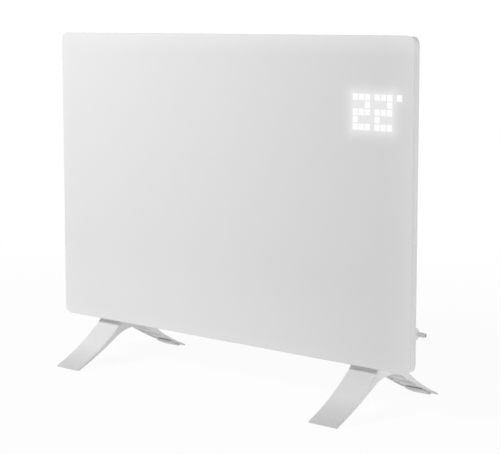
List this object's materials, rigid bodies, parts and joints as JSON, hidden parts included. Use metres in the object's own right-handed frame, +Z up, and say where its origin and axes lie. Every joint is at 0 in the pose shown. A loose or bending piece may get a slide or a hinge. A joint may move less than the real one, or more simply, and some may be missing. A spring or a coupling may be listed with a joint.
{
  "type": "panel convector heater",
  "caption": "Slim convector heater: white glass front with a lit dot-matrix temperature, steel casing behind it, side controls, two bridge-shaped floor feet.",
  "frame": {"origin": "on the floor, midway between the two feet and under their middle", "axes": "+X to the right as seen from the front, +Y to the back (the glass faces -Y), +Z up"},
  "size_m": [0.675, 0.24, 0.518],
  "materials": {
    "white_plastic": "moulded, fine spark-eroded texture",
    "green_plastic": "moulded green",
    "zinc_steel": "galvanised sheet",
    "foam_tape": "closed-cell foam tape",
    "white_steel": "fine-textured white powder coat",
    "green_board": "solder-masked glass-fibre laminate",
    "button_plastic": "satin mid grey",
    "grey_plastic": "moulded light grey nylon",
    "milky_film": "milky diffusing film",
    "led": "white light-emitting chips",
    "black_plastic": "moulded black",
    "grey_insulation": "PVC insulation",
    "ceramic": "unglazed",
    "sheath_steel": "heat-tinted sheath",
    "screw_steel": "zinc-plated screws",
    "white_glass": "tempered glass, white behind, semi-gloss",
    "element_aluminium": "as extruded",
    "rocker_plastic": "glossy black",
    "pad_rubber": "soft matt rubber",
    "blue_plastic": "glossy blue",
    "sensor_epoxy": "epoxy bead",
    "yellow_plastic": "moulded yellow"
  },
  "bodies": {
    "root": {"board_posts": "white_plastic", "board_terminals": "green_plastic", "bonding_rails": "zinc_steel", "bonding_tapes": "foam_tape", "bottom_channel": "white_steel", "button_board": "green_board", "control_bezel": "grey_plastic", "display_board": "green_board", "display_diffuser": "milky_film", "display_leds": "led", "display_light_box": "black_plastic", "display_pads": "foam_tape", "display_ribbon": "grey_insulation", "element_brackets": "zinc_steel", "element_bushes": "ceramic", "element_core": "sheath_steel", "end_cap_left": "white_plastic", "end_cap_right": "white_plastic", "foot_left": "white_plastic", "foot_right": "white_plastic", "foot_screws": "screw_steel", "front_screws": "screw_steel", "gland_body": "grey_plastic", "gland_locknut": "grey_plastic", "gland_nut": "grey_plastic", "glass_panel": "white_glass", "heat_baffle": "zinc_steel", "heating_element": "element_aluminium", "mains_terminal_block": "white_plastic", "outlet_grille": "white_plastic", "overheat_cutout": "black_plastic", "pad_front_left": "pad_rubber", "pad_front_right": "pad_rubber", "pad_rear_left": "pad_rubber", "pad_rear_right": "pad_rubber", "panel_tray": "white_steel", "partition_plate": "zinc_steel", "power_board": "green_board", "rear_panel": "white_steel", "rear_screws": "screw_steel", "relay": "blue_plastic", "ribbon_socket": "white_plastic", "rocker_frame": "black_plastic", "room_sensor": "sensor_epoxy", "sensor_clip": "white_plastic", "smoothing_capacitor": "blue_plastic", "suppression_capacitor": "yellow_plastic", "tact_switches": "black_plastic", "tip_switch": "black_plastic", "transformer": "black_plastic", "weld_nuts": "zinc_steel"},
    "button_minus": {"button_minus": "button_plastic"},
    "button_plus": {"button_plus": "button_plastic"},
    "button_mode": {"button_mode": "button_plastic"},
    "button_power": {"button_power": "button_plastic"},
    "rocker": {"mains_rocker": "rocker_plastic"}
  },
  "joints": [
    {"name": "button_minus_press", "type": "slide", "parent": "root", "child": "button_minus", "axis": [-1, 0, 0], "range_m": [0, 0.0008], "stiffness_N_per_m": 900},
    {"name": "button_plus_press", "type": "slide", "parent": "root", "child": "button_plus", "axis": [-1, 0, 0], "range_m": [0, 0.0008], "stiffness_N_per_m": 900},
    {"name": "button_mode_press", "type": "slide", "parent": "root", "child": "button_mode", "axis": [-1, 0, 0], "range_m": [0, 0.0008], "stiffness_N_per_m": 900},
    {"name": "button_power_press", "type": "slide", "parent": "root", "child": "button_power", "axis": [-1, 0, 0], "range_m": [0, 0.0008], "stiffness_N_per_m": 900},
    {"name": "mains_rocker_tilt", "type": "hinge", "parent": "root", "child": "rocker", "pos_m": [0.283, 0.017, 0.16], "axis": [0, 1, 0], "range_deg": [0, 18]}
  ]
}
